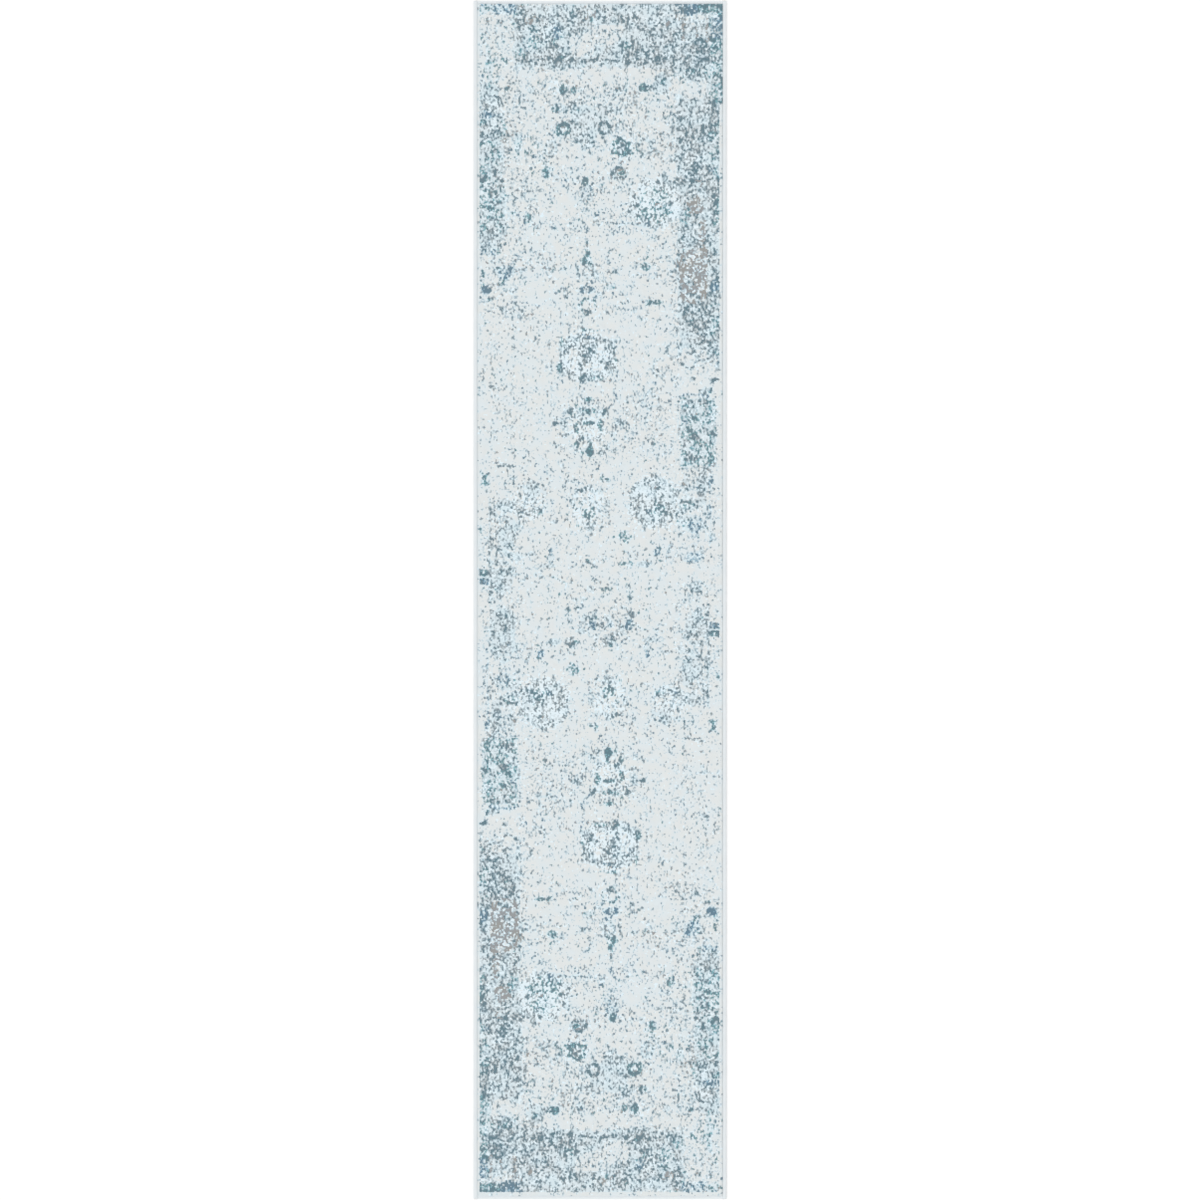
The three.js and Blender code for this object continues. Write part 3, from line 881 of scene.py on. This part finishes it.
# Textured polyester yarn, off-white with a touch of blue: it is matt, fuzzy and a shade lighter than the
# pile.
wrap_yarn, main, place = start("textured_polyester_yarn", Roughness=0.85, IOR=1.53, Sheen_Weight=0.2)
drift = add(wrap_yarn, "ShaderNodeTexNoise", {"Vector": place, "Scale": 30.0, "Detail": 2.0})
add(
    wrap_yarn, "ShaderNodeMix",
    {"Factor": drift.outputs["Fac"], "A": srgb("#d2d8db"), "B": srgb("#dce0e2")},
    {"Result": main.inputs["Base Color"]}, data_type="RGBA",
)
# Filaments of 0.2 mm run round the edge, across the wraps' 3 mm pitch; drawn 1 mm apart.
filaments = add(
    wrap_yarn, "ShaderNodeTexWave", {"Vector": place, "Scale": 310.0, "Distortion": 2.0, "Detail": 1.0},
    bands_direction="Y",
)
add(
    wrap_yarn, "ShaderNodeBump",
    {"Height": filaments.outputs["Fac"], "Strength": 0.3, "Distance": 0.0002},
    {"Normal": main.inputs["Normal"]},
)

binding_right = binding("binding_wrap_right", "side_binding_right", False)
binding_left = binding("binding_wrap_left", "side_binding_left", True)
finish_piece(binding_right, wrap_yarn, "binding_yarn", "side_binding_right")
finish_piece(binding_left, wrap_yarn, "binding_yarn", "side_binding_left")

# Filler cords: three plies of soft cotton twisted together, one inside each binding. They stiffen the
# edge.
ply_turn = 0.018  # one full twist
cord_steps = 0.003


def filler_cord(name, node):
    low, high = (np.array(corner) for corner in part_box(node))
    y = np.linspace(low[1], high[1], round((high[1] - low[1]) / cord_steps) + 1)
    round_it = np.linspace(0, 2 * np.pi, 12, endpoint=False)
    radius = (high[2] - low[2]) / 2
    bulge = radius * (0.93 + 0.07 * np.cos(3 * (round_it - 2 * np.pi * y[:, None] / ply_turn)))
    x = (low[0] + high[0]) / 2 + bulge * np.cos(round_it)
    z = (low[2] + high[2]) / 2 + bulge * np.sin(round_it)
    return swept(name, np.stack([x, np.broadcast_to(y[:, None], x.shape), z], axis=-1)[:, ::-1])


# Unbleached cotton: cream, matt and hairy, with a fine mottle of darker fibres.
cotton, main, place = start("unbleached_cotton_cord", Roughness=0.92, IOR=1.5, Sheen_Weight=0.1)
hairs = add(cotton, "ShaderNodeTexNoise", {"Vector": place, "Scale": 220.0, "Detail": 2.0})
add(
    cotton, "ShaderNodeMix", {"Factor": hairs.outputs["Fac"], "A": srgb("#d3c9b3"), "B": srgb("#efe9da")},
    {"Result": main.inputs["Base Color"]}, data_type="RGBA",
)
for hand in ("left", "right"):
    cord = filler_cord("filler_cord_" + hand, "edge_cord_" + hand)
    finish_piece(cord, cotton, "filler_cord", "edge_cord_" + hand)

# End hems: a ribbed cotton and polyester tape folded round each cut end of the cloth, narrow on top and
# wide underneath, and lockstitched through close to the end.
tape_rib = 0.003
rib_swell = 0.00015
on_top, underneath, fold = 0.009, 0.032, 0.0011
hem_round = 0.0012
hem_top = 0.0044
tape_low, tape_mid = 0.0005, 0.002
tuck = 0.0002  # the tape is pushed close up to the bindings


def hem(name, node, at_head):
    low, high = (np.array(corner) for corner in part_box(node))
    x = np.linspace(low[0] - tuck, high[0] + tuck, 2 * round((high[0] - low[0]) / tape_rib) + 1)
    inner_line = [(underneath, 0.0), (underneath, slot_bottom), (fold, slot_bottom), (fold, slot_top)]
    inner_line.append((on_top, slot_top))
    outer_line = np.concatenate([
        [(on_top, hem_top - 0.0004), (on_top - 0.0005, hem_top), (0.006, hem_top), (0.003, hem_top)],
        arc(hem_round, hem_top - hem_round, hem_round, 90, 180, 4),
        arc(hem_round, hem_round, hem_round, 180, 270, 4),
    ])
    section = np.concatenate([inner_line, outer_line])
    ribbed = np.concatenate([np.zeros(len(inner_line)), np.ones(len(outer_line))])
    # The ribs sink the tape's face on top and at the end, and its underside stays flat on the floor.
    on_face = section[:, 1] > tape_mid
    on_end = ~on_face & (section[:, 1] > tape_low)
    swell = np.where(np.arange(len(x)) % 2, 0.0, rib_swell)[:, None] * ribbed
    z = section[:, 1] - swell * on_face
    from_end = section[:, 0] + swell * on_end
    side = -1 if at_head else 1
    y = side * (low[1] if not at_head else -high[1]) + side * from_end
    rings = np.stack([side * np.broadcast_to(x[:, None], z.shape), y, z], axis=-1)
    return swept(name, rings, sharp=0.7)


# Woven hem tape: pale, flat and matt. Its picks, across the ribs, lie 1.5 mm apart.
tape, main, place = start("woven_hem_tape", Roughness=0.88, IOR=1.53, Sheen_Weight=0.1)
weave = add(tape, "ShaderNodeTexNoise", {"Vector": place, "Scale": 60.0, "Detail": 3.0})
add(
    tape, "ShaderNodeMix", {"Factor": weave.outputs["Fac"], "A": srgb("#d6dcdf"), "B": srgb("#e0e5e8")},
    {"Result": main.inputs["Base Color"]}, data_type="RGBA",
)
picks = add(
    tape, "ShaderNodeTexWave", {"Vector": place, "Scale": 210.0, "Distortion": 0.5, "Detail": 1.0},
    bands_direction="Y",
)
add(
    tape, "ShaderNodeBump", {"Height": picks.outputs["Fac"], "Strength": 0.4, "Distance": 0.0002},
    {"Normal": main.inputs["Normal"]},
)

# Lockstitch: spun polyester thread, a row of stitches 3.2 mm long with a dip of 0.8 mm between them.
stitch_length, stitch_space = 0.0032, 0.0008


def stitch_row(name, start_point, direction, count, width, height):
    """A row of stitches from a point along a direction, each a small lens of thread lying on the cloth."""
    direction = np.array(direction, float)
    aside = np.array([-direction[1], direction[0], 0.0])
    profile = np.radians(np.arange(0, 360, 60))
    plump = (0.35, 0.85, 1.0, 0.85, 0.35)
    rings = []
    for part, size in zip(np.linspace(0, 1, len(plump)), plump):
        offset = part * stitch_length * direction
        rings.append([
            offset + size * (aside * width / 2 * np.cos(a) + np.array([0, 0, height / 2 * np.sin(a)]))
            for a in profile
        ])
    one = np.array(rings).reshape(-1, 3)
    number = np.arange(len(one)).reshape(len(plump), len(profile))
    a, d = number[:-1], number[1:]
    b, c = np.roll(a, -1, axis=1), np.roll(d, -1, axis=1)
    walls = np.stack([a, b, c, d], axis=-1).reshape(-1, 4)
    ends = np.stack([number[0, ::-1], number[-1]])
    starts = np.arange(count)[:, None] * (stitch_length + stitch_space) * direction + np.array(start_point)
    points = (starts[:, None, :] + one).reshape(-1, 3)
    shift = (np.arange(count) * len(one))[:, None, None]
    return solid(name, points, (walls + shift).reshape(-1, 4), (ends + shift).reshape(-1, 6))


# Spun polyester thread has a faint gloss from its twist.
thread, main, place = start("spun_polyester_thread", Roughness=0.5, IOR=1.55, Sheen_Weight=0.1)
twist = add(thread, "ShaderNodeTexNoise", {"Vector": place, "Scale": 900.0, "Detail": 1.0})
add(
    thread, "ShaderNodeMix", {"Factor": twist.outputs["Fac"], "A": srgb("#dfe3e4"), "B": srgb("#f0f2f2")},
    {"Result": main.inputs["Base Color"]}, data_type="RGBA",
)

hems = []
for end in ("foot", "head"):
    tape_piece = hem("hem_tape_" + end, "end_hem_" + end, end == "head")
    finish_piece(tape_piece, tape, "hem_tape", "end_hem_" + end)
    low, high = (np.array(corner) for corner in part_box("hem_stitching_" + end))
    count = int((high[0] - low[0]) / (stitch_length + stitch_space))
    begin = (low[0], (low[1] + high[1]) / 2, (low[2] + high[2]) / 2)
    row_piece = stitch_row("lockstitch_" + end, begin, (1, 0, 0), count, high[1] - low[1], high[2] - low[2])
    finish_piece(row_piece, thread, "sewing_thread", "hem_stitching_" + end)
    hems += [tape_piece, row_piece]

# Care label: a blank satin ribbon sewn flat to the back beside the foot hem, with a row of stitches at
# each end.
ripple_rise = 0.00008
label_lift = 0.00012
row_inset, row_start = 0.003, 0.002
row_stitches = 14
thread_size, thread_lift = (0.0007, 0.00022), 0.00005
label_x = np.linspace(label_low[0], label_high[0], 31)
label_y = np.linspace(label_low[1], label_high[1], 21)
label_gx, label_gy = np.meshgrid(label_x, label_y)
ripple = ripple_rise * np.sin(label_gx * 190) * np.sin(label_gy * 140)
label_bottom = label_low[2] + label_lift + ripple
care_label = plate("care_label_satin", label_x, label_y, label_high[2], label_bottom)

# Polyester satin: white, with a soft gloss. Its warp threads are 0.1 mm thick; drawn 1 mm apart.
satin, main, place = start("polyester_satin", Roughness=0.38, IOR=1.55, Sheen_Weight=0.1)
threads = add(
    satin, "ShaderNodeTexWave", {"Vector": place, "Scale": 320.0, "Distortion": 0.4, "Detail": 1.0},
    bands_direction="X",
)
add(
    satin, "ShaderNodeMix",
    {"Factor": threads.outputs["Fac"], "A": srgb("#efefea"), "B": srgb("#f9f9f6")},
    {"Result": main.inputs["Base Color"]}, data_type="RGBA",
)
finish_piece(care_label, satin, "label_satin", "care_label")
for end, y in (("inner", label_high[1] - row_inset), ("outer", label_low[1] + row_inset)):
    begin = (label_low[0] + row_start, y, label_low[2] + thread_lift)
    row_piece = stitch_row("label_stitch_" + end, begin, (1, 0, 0), row_stitches, *thread_size)
    finish_piece(row_piece, thread, "sewing_thread")

# Floor: a plain pale studio floor, which isn't part of the rug.
floor_size = 40
floor_mesh = bpy.data.meshes.new("floor")
half = floor_size / 2
floor_corners = [(-half, -half, 0), (half, -half, 0), (half, half, 0), (-half, half, 0)]
floor_mesh.from_pydata(floor_corners, [], [(0, 1, 2, 3)])
floor = bpy.data.objects.new("floor", floor_mesh)
floor.location.z = -0.0002
bpy.context.collection.objects.link(floor)
paint, main, place = start("matt_floor_paint", Roughness=0.9)
main.inputs["Base Color"].default_value = srgb("#f4f4f4")
floor_mesh.materials.append(paint)

# Light: an even white sky, as in a studio tent, and a broad weak sun from the lower left that gives the
# tufts their form.
world = bpy.data.worlds.new("studio_tent")
world.use_nodes = True
world.node_tree.nodes["Background"].inputs["Color"].default_value = (1, 1, 1, 1)
world.node_tree.nodes["Background"].inputs["Strength"].default_value = 1.0
bpy.context.scene.world = world
sun_data = bpy.data.lights.new("broad_sun", "SUN")
sun_data.energy = 0.6
sun_data.angle = np.radians(50)
sun = bpy.data.objects.new("broad_sun", sun_data)
sun.rotation_euler = (np.radians(18), np.radians(-28), 0)
bpy.context.collection.objects.link(sun)
bpy.context.scene.view_settings.view_transform = "Standard"
